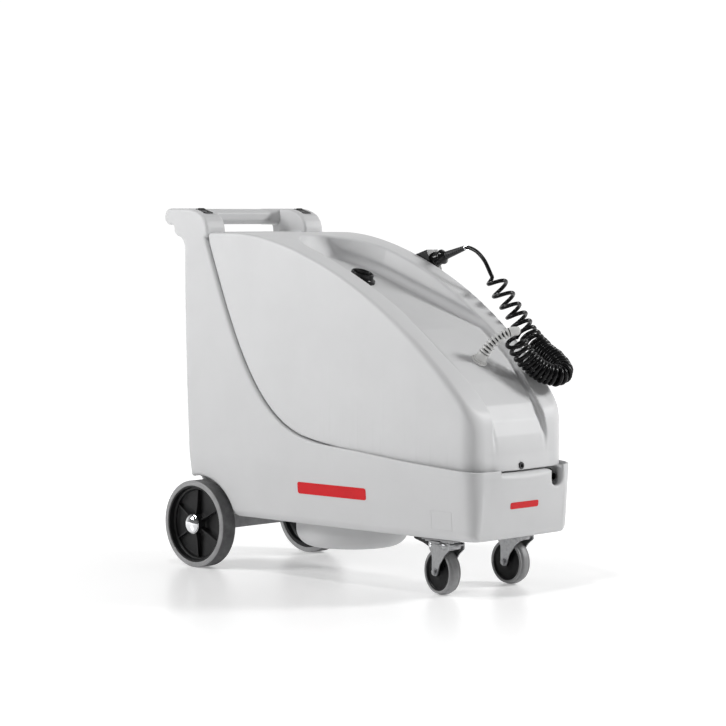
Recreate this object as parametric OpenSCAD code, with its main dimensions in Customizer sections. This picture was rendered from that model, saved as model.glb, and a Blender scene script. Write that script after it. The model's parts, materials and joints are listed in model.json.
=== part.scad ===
// Wheeled spray extractor: lower body on two fixed wheels and two swivel casters,
// tip-up recovery tank with a hose channel, push handle and curly power cord.
// Millimetres. Front faces -Y, up is +Z, the floor is z = 0. Left is -X, seen from the front.

/* [Lower body] */
// Half width at the back
base_hw = 187; // [180:1:190]
// Half width at the front corners
base_front_hw = 168; // [160:1:172]
// Height of the underside above the floor
under_z = 125; // [124:1:128]
// Thickness of the moulded walls
wall = 5; // [4:0.5:6]

/* [Tank] */
// How far the tank's flanks sit inside the lower body's
tank_inset = 6; // [4:1:8]
// Gap between the tank and the lower body
seam = 3; // [2:0.5:4]
// Slope of the channel floor in degrees
floor_slope = 20.22; // [20.22:0.01:20.22]

/* [Wheels] */
// Rear wheel diameter
wheel_d = 200; // [196:1:204]
// Rear wheel width
wheel_w = 42; // [38:1:44]
// Number of ribs in each rear wheel
wheel_ribs = 6; // [4:1:10]
// Caster wheel diameter
caster_d = 100; // [98:1:102]
// Caster wheel width
caster_w = 30; // [26:1:32]
// Resting swivel of the left caster in degrees
swivel_left = -11; // [-30:1:30]
// Resting swivel of the right caster in degrees
swivel_right = -5; // [-30:1:30]

/* [Handle] */
// Height of the handle's top
handle_top = 823; // [815:1:830]
// Diameter of the grip's round edge
grip_d = 38; // [34:1:40]

/* [Cord] */
// Cord diameter
cord_d = 9; // [6:0.5:10]
// Outside diameter of the curly part
coil_d = 52; // [46:1:54]

/* [Hidden] */
$fn = 64;
axle = [360, 100];           // rear axle, as Y and Z
caster_at = [112, -356];     // swivel axis, as X and Y
trail = 28;                  // from swivel axis to caster axle
caster_z = caster_d / 2;
pedal_pivot = [44, 106.5];   // from the swivel axis, as Y and Z
hinge_at = [320, 758];       // tank hinge, as Y and Z
port_at = [0, 20, 661.5];
lock_at = [-5, 278];         // quarter-turn lock, as X and Z
plug_at = [199, -25, 706];
plug_tilt = 17;
cover_at = [0, -187, 287.5];
pan_at = [0, 46];
pocket_x = 150;
wheel_x = 181;
post_in = 127;
grip_at = [456, handle_top - grip_d / 2];

function bez(a, b, c, d, n) = [for (i = [0:n]) let (t = i / n, s = 1 - t)
    s * s * s * a + 3 * s * s * t * b + 3 * s * t * t * c + t * t * t * d];
function flip(p) = [for (i = [len(p) - 1:-1:0]) p[i]];
function mirror_x(p) = [for (i = [len(p) - 1:-1:0]) [-p[i][0], p[i][1]]];

seam_line = concat(bez([340, 769], [250, 540], [180, 345], [0, 313], 14),
    [[-100, 296], [-274, 279], [-480, 264]]);
ridge_line = concat(bez([250, 768], [60, 768], [-245, 632], [-425, 417], 14),
    bez([-432, 408], [-450, 386], [-462, 366], [-462, 335], 4));
channel_floor = [[200, 800], [190, 768], [160, 713], [-250, 562], [-305, 520], [-336, 495],
    [-380, 452], [-420, 406], [-440, 373], [-451, 342], [-458, 310], [-463, 290]];
channel_ledge = [[202, 800], [193, 768], [172, 736], [120, 722], [-60, 665], [-200, 602],
    [-300, 533], [-520, 460]];

// plan outlines, right half from back to front
function plan_half(hw_r, hw_f, y_r, r_r, y_f, r_f, bow) = concat(
    bez([hw_r - r_r, y_r], [hw_r - r_r * 0.45, y_r], [hw_r, y_r - r_r * 0.45], [hw_r, y_r - r_r], 5),
    bez([hw_r, y_r - r_r - 20], [hw_r, 60], [hw_r - 5, -200], [hw_f, y_f + r_f], 10),
    bez([hw_f - 1, y_f + r_f * 0.8], [hw_f - 3, y_f + r_f * 0.35],
        [hw_f - r_f * 0.5, y_f + 1], [hw_f - r_f, y_f - 2], 6),
    bez([hw_f - r_f - 20, y_f - bow * 0.35], [70, y_f - bow * 0.8],
        [40, y_f - bow], [0, y_f - bow], 4));
function plan(h) = concat(h, mirror_x(h));

channel_half = concat(bez([0, 192], [60, 192], [118, 150], [124, 60], 8),
    [[125, -60], [125, -230], [104, -325], [95, -367], [85, -415], [80, -480]]);
gully_half = concat(bez([0, 170], [40, 170], [84, 130], [98, 50], 8),
    [[101, -60], [101, -220], [97, -325], [92, -367], [84, -415], [79, -480]]);

module across(x0, x1) {
    translate([x0, 0, 0]) rotate([90, 0, 90]) linear_extrude(x1 - x0) children();
}
module upright(z0, z1) { translate([0, 0, z0]) linear_extrude(z1 - z0) children(); }
module both_sides() { children(); mirror([1, 0, 0]) children(); }
module along_x(x0, x1, yz, r) {
    translate([x0, yz[0], yz[1]]) rotate([0, 90, 0]) cylinder(h = x1 - x0, r = r);
}

// ---- tubes swept along a route ----
function unit(v) = v / norm(v);
function spline(p, n) = [for (i = [0:len(p) - 2], k = [0:n - 1]) let (t = k / n,
    a = p[max(i - 1, 0)], b = p[i], c = p[i + 1], d = p[min(i + 2, len(p) - 1)])
    0.5 * (2 * b + (c - a) * t + (2 * a - 5 * b + 4 * c - d) * t * t
    + (3 * b - a - 3 * c + d) * t * t * t), p[len(p) - 1]];
module swept(path, radii, sides, side_way) {
    last = len(path) - 1;
    rings = [for (i = [0:last]) let (
        t = unit(path[min(i + 1, last)] - path[max(i - 1, 0)]),
        u = unit(cross(t, side_way)), v = cross(t, u))
        for (k = [0:sides - 1]) path[i] + radii[i] * (cos(360 * k / sides) * u + sin(360 * k / sides) * v)];
    faces = concat(
        [[for (k = [sides - 1:-1:0]) k]],
        [for (i = [0:last - 1], k = [0:sides - 1], half = [0, 1]) let (n = (k + 1) % sides)
            half == 0 ? [i * sides + k, i * sides + n, (i + 1) * sides + n]
            : [i * sides + k, (i + 1) * sides + n, (i + 1) * sides + k]],
        [[for (k = [0:sides - 1]) last * sides + k]]);
    polyhedron([for (p = rings) p], [for (f = faces) flip(f)]);
}

boot_route = bez([0, -341, 500], [1, -354, 520], [20, -384, 564], [56, -400, 559], 10);
tail_route = [[56, -400, 559], [59, -400, 557.5], [62, -400, 554], [63, -399, 548]];
coil_route = spline([[58, -385, 545], [70, -388, 523], [84, -398, 500], [98, -410, 482],
    [116, -424, 468], [138, -437, 462], [160, -434, 470], [176, -404, 488], [185, -362, 508],
    [190, -322, 536], [193, -293, 563], [196, -257, 602], [198, -216, 650], [199, -194, 674]], 4);
lead_route = spline([[199, -194, 674], [199, -186, 688], [199, -174, 706], [199, -155, 723],
    [199, -136, 732], [199, -120, 735.2]], 4);

// ---- lower body ----
module base_side() {
    polygon(concat([[-463, under_z + 8], [-458, under_z], [378, under_z], [385, under_z + 8],
        [392, 232], [418, 742], [418, 769]], seam_line));
}
module base_front_view(inset) {
    w = base_hw - inset;
    polygon([[-w, 900], [-w, 262], [-w + 9, under_z + 14], [-w + 21, under_z + inset],
        [w - 21, under_z + inset], [w - 9, under_z + 14], [w, 262], [w, 900]]);
}
module base_plan() {
    polygon(plan(plan_half(base_hw, base_front_hw, 418, 26, -466, 35, 9)));
}
module post_side() {
    polygon([[327, 762], [328, 780], [333, 794], [342, 806], [358, 815], [374, 820], [392, handle_top],
        [grip_at[0], handle_top], [grip_at[0], handle_top - grip_d], [444, handle_top - grip_d],
        [441, 767], [434, 760], [418, 754]]);
    translate(grip_at) circle(d = grip_d);
}
module wheel_pockets(extra) {
    both_sides() along_x(pocket_x - extra, 260, axle, wheel_d / 2 + 10 + extra);
}
module base_block() {
    intersection() {
        across(-200, 200) base_side();
        upright(100, 900) base_plan();
        translate([0, 500, 0]) rotate([90, 0, 0]) linear_extrude(1000) base_front_view(0);
    }
}
module base_shell() {
    color([0.78, 0.78, 0.77]) difference() {
        union() {
            difference() {
                base_block();
                wheel_pockets(0);
            }
            both_sides() across(post_in, base_hw) intersection() {
                post_side();
                translate([0, 769]) square([900, 100]);
            }
            both_sides() across(post_in, base_hw)
                polygon([[418, 754], [418, 769], [441.3, 769], [441, 767], [434, 760]]);
        }
        // hollow body
        difference() {
            intersection() {
                across(-200, 200) offset(delta = -wall) base_side();
                upright(100, 900) offset(delta = -wall) base_plan();
                translate([0, 500, 0]) rotate([90, 0, 0]) linear_extrude(1000)
                    base_front_view(wall);
            }
            wheel_pockets(wall);
            translate([80, -480, 212]) cube([50, 50, 60]);
            translate([-110, -480, 235]) cube([220, 27, 40]);
        }
        // finger notch under the tank's front edge
        translate([-80, -490, 257]) cube([162, 22, 20]);
        // corner scoop with its coupling
        translate([105, -436, 247]) rotate([90, 0, 0]) cylinder(h = 60, d = 40);
        translate([85, -496, 247]) cube([40, 60, 40]);
        // handle grip sockets
        both_sides() along_x(post_in - 1, post_in + 14, grip_at, 10);
        // switch seats
        both_sides() switch_frame() translate([-12, -17, -9]) cube([24, 34, 40]);
        // deck cover seat
        cover_frame() {
            translate([0, 0, -2.5]) cylinder(h = 10, r = 80);
            translate([0, 0, -10]) cylinder(h = 20, r = 70);
        }
    }
}
module switch_frame() { translate([157, 368, 818]) rotate([15.6, 0, 0]) children(); }
module cover_frame() { translate(cover_at) rotate([5.58, 0, 0]) children(); }
module deck_cover() {
    color([0.12, 0.12, 0.13]) cover_frame() {
        translate([0, 0, -2.5]) cylinder(h = 2.5, r = 79.8);
        translate([0, 0, -7]) cylinder(h = 4.5, r = 69.8);
    }
}
module handle_bar() {
    color([0.76, 0.76, 0.75]) {
        across(-post_in, post_in) {
            polygon([[grip_at[0], handle_top - grip_d], [436, handle_top - grip_d],
                [424, handle_top - grip_d + 8], [424, handle_top - 12],
                [432, handle_top], [grip_at[0], handle_top]]);
            translate(grip_at) circle(d = grip_d);
        }
        both_sides() along_x(post_in - 4, post_in + 12, grip_at, 9.9);
    }
}
module hinge_brackets() {
    color([0.6, 0.61, 0.63]) both_sides() difference() {
        across(60, 84) {
            translate(hinge_at) circle(r = 7);
            polygon([[hinge_at[0], hinge_at[1] - 7], [hinge_at[0], hinge_at[1] + 7],
                [hinge_end(hinge_at[1] + 7), hinge_at[1] + 7],
                [hinge_end(hinge_at[1] - 7), hinge_at[1] - 7]]);
        }
        along_x(50, 100, hinge_at, 4);
    }
}
// where the seam line crosses a height near its top
function hinge_end(z) = let (a = seam_line[0], b = seam_line[1])
    a[0] + (b[0] - a[0]) * (z - a[1]) / (b[1] - a[1]);
module hinge_pins() {
    color([0.7, 0.7, 0.72]) both_sides() along_x(48, 96, hinge_at, 3.95);
}
module rest_pads() {
    color([0.1, 0.1, 0.1]) both_sides() translate([55, -440, 267]) rotate([4.2, 0, 0])
        cylinder(h = 2.6, r = 8);
}
module motor_pan() {
    color([0.76, 0.76, 0.75]) translate([pan_at[0], pan_at[1], 0]) rotate_extrude($fn = 96)
        polygon([[0, 63], [90, 63], [106, 66], [117, 74], [124, 88], [127, 106], [127, under_z],
            [121, under_z], [121, 107], [118, 91], [112, 79], [103, 71.5], [89, 68], [0, 68]]);
}
module vacuum_motor() {
    color([0.3, 0.3, 0.32]) translate([pan_at[0], pan_at[1], 0]) {
        translate([0, 0, under_z + wall]) cylinder(h = 60, r = 72);
        translate([0, 0, under_z + wall + 60]) cylinder(h = 70, r = 55);
        translate([0, 0, under_z + wall + 130]) cylinder(h = 12, r = 20);
    }
}
module pump() {
    color([0.2, 0.2, 0.22]) {
        translate([-115, -260, under_z + wall]) cube([70, 110, 62]);
        translate([-80, -150, under_z + wall + 31]) rotate([-90, 0, 0]) cylinder(h = 46, r = 24);
    }
}
module front_coupling() {
    color([0.08, 0.08, 0.08]) translate([105, -436, 247]) rotate([90, 0, 0]) difference() {
        union() {
            cylinder(h = 8, r = 17);
            cylinder(h = 22, r = 12);
        }
        translate([0, 0, 6]) cylinder(h = 20, r = 8);
    }
}
module side_badge() {
    color([0.75, 0.05, 0.07]) difference() {
        intersection() {
            translate([-1.2, 0, 0]) base_block();
            translate([-196, -168, 193]) cube([40, 208, 28]);
        }
        base_block();
    }
}
module front_badge() {
    color([0.75, 0.05, 0.07]) difference() {
        intersection() {
            translate([0, -1.2, 0]) base_block();
            translate([-48, -490, 188]) cube([92, 40, 15]);
        }
        base_block();
    }
}
module switch_bezels() {
    color([0.1, 0.1, 0.1]) both_sides() switch_frame() difference() {
        translate([-12, -17, -9]) cube([24, 34, 9.4]);
        translate([-9.5, -14.5, -7]) cube([19, 29, 20]);
    }
}
module rocker() {
    color([0.07, 0.07, 0.07]) switch_frame() translate([0, 0, -2]) {
        rotate([90, 0, 90]) linear_extrude(17.6, center = true)
            polygon([[-13, -1.5], [-13, 2], [0, 1], [12.3, 5], [13, 1.5], [0, -4.2]]);
        along_x(-9.2, 9.2, [0, -2.6], 2);
    }
}
module rocker_left() { mirror([1, 0, 0]) rocker(); }
module rocker_right() { rocker(); }

// ---- rear axle and wheels ----
module axle_beam() {
    color([0.25, 0.25, 0.26]) difference() {
        translate([-146, axle[0] - 17, 83]) cube([292, 34, 34]);
        along_x(-150, 150, axle, 10);
    }
}
module axle_clamps() {
    color([0.25, 0.25, 0.26]) both_sides() translate([70, axle[0] - 30, 117])
        cube([50, 48, under_z - 117]);
}
module axle_rod() {
    color([0.7, 0.7, 0.72]) along_x(-200, 200, axle, 9.95);
}
module hub_caps() {
    color([0.85, 0.85, 0.86]) both_sides() translate([0, axle[0], axle[1]]) rotate([0, 90, 0])
        rotate_extrude() polygon([[0, 200], [10, 200], [10, 203.5], [22, 203.5], [22, 206],
            [20, 209.5], [16, 212], [10, 213.6], [0, 214]]);
}
module wheel_rim() {
    color([0.07, 0.07, 0.07]) translate([wheel_x, axle[0], axle[1]]) rotate([0, 90, 0]) {
        difference() {
            union() {
                rotate_extrude($fn = 96) polygon([[20, -20], [20, -4], [82, -4], [82, -20], [88, -20],
                    [88, 19.5], [83, 19.5], [83, 2], [20, 2]]);
                cylinder(h = 40, r = 21, center = true);
                for (k = [0:wheel_ribs - 1]) rotate([0, 0, 360 / wheel_ribs * k])
                    translate([19, -1.75, 1]) cube([65, 3.5, 15]);
            }
            cylinder(h = 60, r = 10, center = true);
        }
    }
}
module wheel_tyre() {
    color([0.42, 0.42, 0.43]) translate([wheel_x, axle[0], axle[1]]) rotate([0, 90, 0])
        rotate_extrude($fn = 96) polygon([[88, -20], [94, -21], [98, -19.5], [wheel_d / 2, -16],
            [wheel_d / 2, 16], [98, 19.5], [94, 21], [88, 20]]);
}
module rim_right() { wheel_rim(); }
module rim_left() { mirror([1, 0, 0]) wheel_rim(); }
module tyre_right() { wheel_tyre(); }
module tyre_left() { mirror([1, 0, 0]) wheel_tyre(); }

// ---- casters ----
module at_caster(side) { translate([side * caster_at[0], caster_at[1], 0]) children(); }
module caster_plates() {
    color([0.3, 0.3, 0.31]) for (side = [-1, 1]) at_caster(side) difference() {
        translate([-36, -36, under_z - 4]) cube([72, 86, 4]);
        for (x = [-26, 26], y = [-26, 40]) translate([x, y, 100]) cylinder(h = 40, r = 4);
    }
}
module caster_screws() {
    color([0.75, 0.75, 0.77]) for (side = [-1, 1]) at_caster(side)
        for (x = [-26, 26], y = [-26, 40]) translate([x, y, 0]) {
            translate([0, 0, under_z - 7.5]) cylinder(h = 3.5, r = 6.5);
            translate([0, 0, under_z - 4]) cylinder(h = 4, r = 3.9);
        }
}
module kingpins() {
    color([0.75, 0.75, 0.77]) for (side = [-1, 1]) at_caster(side) {
        translate([0, 0, 99.5]) cylinder(h = under_z - 4 - 99.5, r = 6);
        translate([0, 0, 98]) cylinder(h = 2.4, r = 9);
        translate([0, 0, under_z - 9]) cylinder(h = 5, r = 21);
    }
}
module swivelled(side) {
    at_caster(side) rotate([0, 0, side < 0 ? swivel_left : swivel_right]) children();
}
module fork(side) {
    color([0.7, 0.7, 0.71]) swivelled(side) difference() {
        union() {
            translate([0, 0, 101]) cylinder(h = under_z - 9.6 - 101, r = 25);
            for (x = [-20.5, 17.5]) across(x, x + 3)
                polygon([[-24, 101], [-24, 115.4], [50, 115.4], [52, 102], [47, 96], [trail + 10, 86],
                    [trail + 10, 46], [trail + 6, 41], [trail - 6, 41], [trail - 10, 46],
                    [trail - 14, 66]]);
        }
        translate([0, 0, 90]) cylinder(h = 40, r = 6.1);
        along_x(-30, 30, [trail, caster_z], 4);
        along_x(-30, 30, pedal_pivot, 3);
    }
}
module caster_axle(side) {
    color([0.75, 0.75, 0.77]) swivelled(side) {
        along_x(-24, 24, [trail, caster_z], 3.95);
        along_x(-25.5, -20.5, [trail, caster_z], 7);
        along_x(20.5, 25.5, [trail, caster_z], 7);
    }
}
module pedal_pin(side) {
    color([0.75, 0.75, 0.77]) swivelled(side) {
        along_x(-20.5, 20.5, pedal_pivot, 2.95);
        for (x = [-22, 20.5]) along_x(x, x + 1.5, pedal_pivot, 4.5);
    }
}
module pedal(side) {
    color([0.06, 0.06, 0.06]) swivelled(side) difference() {
        across(-16.5, 16.5) polygon([[37, 101.5], [37, 111], [46, 113.5], [62, 115.5], [108, 118.5],
            [111, 116.5], [108, 113], [74, 107], [56, 101.2], [50, 100.6]]);
        along_x(-30, 30, pedal_pivot, 3.03);
    }
}
module caster_hub(side) {
    color([0.08, 0.08, 0.08]) swivelled(side) translate([0, trail, caster_z]) rotate([0, 90, 0])
        rotate_extrude($fn = 72) polygon([[4.03, -16.5], [10, -16.5], [10, -12], [38, -10.5],
            [41, -10.5], [41, 10.5], [38, 10.5], [10, 12], [10, 16.5], [4.03, 16.5]]);
}
module caster_tread(side) {
    color([0.45, 0.45, 0.46]) swivelled(side) translate([0, trail, caster_z]) rotate([0, 90, 0])
        rotate_extrude($fn = 72) polygon([[41, -13], [44, -15], [47, -13.5], [48.8, -9],
            [caster_d / 2, -4.5], [caster_d / 2, 4.5], [48.8, 9], [47, 13.5], [44, 15], [41, 13]]);
}
module fork_left() { fork(-1); }
module fork_right() { fork(1); }
module caster_axle_left() { caster_axle(-1); }
module caster_axle_right() { caster_axle(1); }
module pedal_pin_left() { pedal_pin(-1); }
module pedal_pin_right() { pedal_pin(1); }
module pedal_left() { pedal(-1); }
module pedal_right() { pedal(1); }
module caster_hub_left() { caster_hub(-1); }
module caster_hub_right() { caster_hub(1); }
module caster_tread_left() { caster_tread(-1); }
module caster_tread_right() { caster_tread(1); }

// ---- recovery tank ----
module tank_side() {
    difference() {
        polygon(concat([[330, 700], [hinge_at[0] + 8, hinge_at[1] + 3], [hinge_at[0] + 7, hinge_at[1] + 8],
            [hinge_at[0], 768]], ridge_line, [[-462, 200], [330, 200]]));
        offset(delta = seam) polygon(concat([[-500, 100], [500, 100], [500, 769]], seam_line));
    }
    intersection() {
        translate(hinge_at) circle(r = 10);
        translate([hinge_at[0] - 20, hinge_at[1] - 20]) square([40, 40]);
    }
}
module tank_plan() {
    polygon(plan(plan_half(base_hw - tank_inset, base_front_hw - 13, 360, 10, -453, 42, 9)));
}
module channel_part(line, half, grow) {
    intersection() {
        across(-140, 140) offset(delta = grow) polygon(concat(line, [[-560, 300], [-560, 850], [200, 850]]));
        upright(200, 900) offset(delta = grow) polygon(plan(half));
    }
}
module channel(grow) {
    channel_part(channel_ledge, channel_half, grow);
    channel_part(channel_floor, gully_half, grow);
}
module port_frame() { translate(port_at) rotate([floor_slope, 0, 0]) children(); }
module lock_frame() { translate([lock_at[0], -447, lock_at[1]]) rotate([90, 0, 0]) children(); }
module gland_frame() { translate([0, -336, 495]) rotate([40, 0, 0]) children(); }
module plug_frame() { translate(plug_at) rotate([90 - plug_tilt, 0, 0]) children(); }
module tank_shell() {
    color([0.80, 0.80, 0.79]) difference() {
        intersection() {
            across(-200, 200) tank_side();
            upright(200, 900) tank_plan();
        }
        channel(0);
        difference() {
            intersection() {
                across(-200, 200) offset(delta = -wall) tank_side();
                upright(200, 900) offset(delta = -wall) tank_plan();
            }
            channel(wall);
            both_sides() along_x(40, 104, hinge_at, 14);
            gland_frame() translate([0, 0, -14]) cylinder(h = 30, r = 20);
            translate([lock_at[0] - 15, -470, lock_at[1] - 16]) cube([30, 38, 30]);
            translate([165, -62, 665]) cube([30, 84, 60]);
        }
        // hinge bores and clearance for the brackets
        both_sides() {
            along_x(30, 110, hinge_at, 4.03);
            along_x(58, 86, hinge_at, 9);
            across(58, 86) polygon([[hinge_at[0], hinge_at[1] - 9], [hinge_at[0] + 40, hinge_at[1] - 9],
                [hinge_at[0] + 40, 790], [hinge_at[0] - 9, 790], [hinge_at[0] - 9, hinge_at[1]]]);
        }
        port_frame() translate([0, 0, -20]) cylinder(h = 40, r = 26);
        gland_frame() translate([0, 0, -20]) cylinder(h = 40, r = 8);
        lock_frame() translate([0, 0, -9.8]) cylinder(h = 40, r = 5.9);
    }
}
module hose_port() {
    color([0.06, 0.06, 0.06]) port_frame() difference() {
        union() {
            rotate_extrude() polygon([[20, 0], [33, 0], [33, 5], [30, 7], [26.5, 9], [26, 20], [20, 20]]);
            translate([0, 0, -16]) cylinder(h = 17, r = 25.9);
        }
        translate([0, 0, -20]) cylinder(h = 40, r = 22);
    }
}
module float_cage() {
    color([0.9, 0.9, 0.88]) translate([0, 262, 0]) difference() {
        translate([0, 0, 690]) cylinder(h = 72, r = 30);
        translate([0, 0, 695]) cylinder(h = 80, r = 26);
        for (a = [0:60:300]) rotate([0, 0, a]) translate([15, 0, 680]) cylinder(h = 20, r = 5);
    }
}
module float_ball() {
    color([0.9, 0.88, 0.8]) translate([0, 262, 715.5]) sphere(r = 20);
}
module lock_bush() {
    color([0.08, 0.08, 0.08]) lock_frame() difference() {
        translate([0, 0, -7]) cylinder(h = 20, r = 5.85);
        translate([0, 0, -10]) cylinder(h = 40, r = 3.6);
    }
}
module lock_barrel() {
    color([0.05, 0.05, 0.05]) lock_frame() difference() {
        union() {
            translate([0, 0, -9]) cylinder(h = 19, r = 3.54);
            translate([0, 0, -9.4]) cylinder(h = 2, r = 5.2);
        }
        translate([-3, -0.6, 8]) cube([6, 1.2, 4]);
    }
}
module gland_collar() {
    color([0.72, 0.72, 0.71]) gland_frame() difference() {
        union() {
            cylinder(h = 4, r = 18);
            cylinder(h = 8, r = 15);
            translate([0, 0, -10]) cylinder(h = 11, r = 7.9);
        }
        translate([0, 0, -20]) cylinder(h = 40, r = 4);
    }
}
module gland_boot() {
    count = len(boot_route) - 1;
    color([0.74, 0.74, 0.73]) {
        swept(boot_route, [for (i = [0:count]) 13.5 - 4 * i / count], 16, [0.35, 0.3, 0.9]);
    }
}
module cord_coil() {
    color([0.05, 0.05, 0.05]) swept(coil_route, [for (p = coil_route) coil_d / 2], 12, [0.35, 0.3, 0.9]);
}
module cord_tail() {
    color([0.05, 0.05, 0.05]) swept(tail_route, [for (p = tail_route) cord_d / 2], 10, [0, 0.2, 1]);
}
module cord_lead() {
    color([0.05, 0.05, 0.05]) swept(lead_route, [for (p = lead_route) cord_d / 2], 10, [1, 0, 0]);
}
module plug_ring() {
    color([0.85, 0.85, 0.85]) plug_frame() translate([0, 0, 95]) cylinder(h = 4, r = 6.5);
}
module plug_boot() {
    color([0.2, 0.2, 0.21]) plug_frame() translate([0, 0, 36]) cylinder(h = 59, r1 = 9, r2 = 5.5);
}
module plug_body() {
    color([0.06, 0.06, 0.06]) plug_frame() {
        translate([0, 0, -24]) cylinder(h = 24, r = 11);
        cylinder(h = 22, r = 17.5);
        translate([0, 0, 22]) cylinder(h = 14, r1 = 17.5, r2 = 9);
    }
}
module socket_housing() {
    color([0.08, 0.08, 0.08]) difference() {
        intersection() {
            plug_frame() translate([-22, -24, -58]) cube([36, 48, 58]);
            upright(500, 900) translate([150, -200]) square([63, 400]);
        }
        upright(200, 900) tank_plan();
        plug_frame() translate([0, 0, -26]) cylinder(h = 30, r = 11.1);
    }
}

base_shell();
deck_cover();
handle_bar();
hinge_brackets();
hinge_pins();
rest_pads();
motor_pan();
vacuum_motor();
pump();
front_coupling();
side_badge();
front_badge();
switch_bezels();
rocker_left();
rocker_right();
axle_beam();
axle_clamps();
axle_rod();
hub_caps();
rim_left();
rim_right();
tyre_left();
tyre_right();
caster_plates();
caster_screws();
kingpins();
fork_left();
fork_right();
caster_axle_left();
caster_axle_right();
pedal_pin_left();
pedal_pin_right();
pedal_left();
pedal_right();
caster_hub_left();
caster_hub_right();
caster_tread_left();
caster_tread_right();
tank_shell();
hose_port();
float_cage();
float_ball();
lock_bush();
lock_barrel();
gland_collar();
gland_boot();
cord_tail();
cord_coil();
cord_lead();
plug_ring();
plug_boot();
plug_body();
socket_housing();
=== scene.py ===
"""Looks of the wheeled spray extractor: smooth moulded shells, wheels, casters and curly cord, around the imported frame.
Shapes are worked out in millimetres, in the frame's axes, and scaled to metres as each mesh is made."""
import json
import math
import bmesh
import bpy
import numpy as np
from mathutils import Matrix, Vector


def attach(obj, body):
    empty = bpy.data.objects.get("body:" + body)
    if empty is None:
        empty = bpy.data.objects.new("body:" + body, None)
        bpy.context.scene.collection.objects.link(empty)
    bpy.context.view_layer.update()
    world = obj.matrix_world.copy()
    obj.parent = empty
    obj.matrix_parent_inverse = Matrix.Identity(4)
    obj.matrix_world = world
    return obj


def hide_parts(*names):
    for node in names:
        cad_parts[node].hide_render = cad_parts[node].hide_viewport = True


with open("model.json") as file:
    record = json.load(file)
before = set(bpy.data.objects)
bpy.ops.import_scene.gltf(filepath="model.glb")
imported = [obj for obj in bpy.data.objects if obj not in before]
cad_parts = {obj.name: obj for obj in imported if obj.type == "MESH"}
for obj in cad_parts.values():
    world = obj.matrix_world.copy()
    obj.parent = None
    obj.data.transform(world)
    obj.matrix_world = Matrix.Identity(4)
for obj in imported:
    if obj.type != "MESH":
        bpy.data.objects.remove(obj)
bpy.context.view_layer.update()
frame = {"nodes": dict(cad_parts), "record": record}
NODES = frame["nodes"]
BODY_OF = {n: b for b, ns in frame["record"]["behaviour"]["bodies"].items() for n in ns}
MM = 0.001
scene = bpy.context.scene


# ---------------------------------------------------------------- materials
def material(name, color, roughness, metallic=0.0, *, grain, grain_depth, mottle, mottle_scale, rough_var,
             specular=0.5):
    """A procedural finish: base colour with soft mottling, grain as bump, and roughness that wanders."""
    mat = bpy.data.materials.new(name)
    mat.use_nodes = True
    tree = mat.node_tree
    nodes, links = tree.nodes, tree.links
    bsdf = nodes["Principled BSDF"]
    bsdf.inputs["Base Color"].default_value = (*color, 1)
    bsdf.inputs["Roughness"].default_value = roughness
    bsdf.inputs["Metallic"].default_value = metallic
    bsdf.inputs["Specular IOR Level"].default_value = specular
    coords = nodes.new("ShaderNodeTexCoord")

    def noise(scale, detail, rough):
        n = nodes.new("ShaderNodeTexNoise")
        n.inputs["Scale"].default_value = scale
        n.inputs["Detail"].default_value = detail
        n.inputs["Roughness"].default_value = rough
        links.new(coords.outputs["Object"], n.inputs["Vector"])
        return n

    ramp = nodes.new("ShaderNodeValToRGB")
    for stop, position, shade in zip(ramp.color_ramp.elements, (0.3, 0.7), (1 - mottle, 1 + mottle)):
        stop.position = position
        stop.color = (*[min(1, c * shade) for c in color], 1)
    links.new(noise(mottle_scale, 4.0, 0.6).outputs["Fac"], ramp.inputs["Fac"])
    links.new(ramp.outputs["Color"], bsdf.inputs["Base Color"])
    wander = nodes.new("ShaderNodeMapRange")
    wander.inputs["To Min"].default_value = max(0.02, roughness - rough_var)
    wander.inputs["To Max"].default_value = min(1, roughness + rough_var)
    links.new(noise(mottle_scale * 3.1, 3.0, 0.5).outputs["Fac"], wander.inputs["Value"])
    links.new(wander.outputs["Result"], bsdf.inputs["Roughness"])
    bump = nodes.new("ShaderNodeBump")
    bump.inputs["Strength"].default_value = grain_depth
    bump.inputs["Distance"].default_value = 0.0004
    links.new(noise(grain, 2.0, 0.5).outputs["Fac"], bump.inputs["Height"])
    links.new(bump.outputs["Normal"], bsdf.inputs["Normal"])
    return mat


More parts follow.
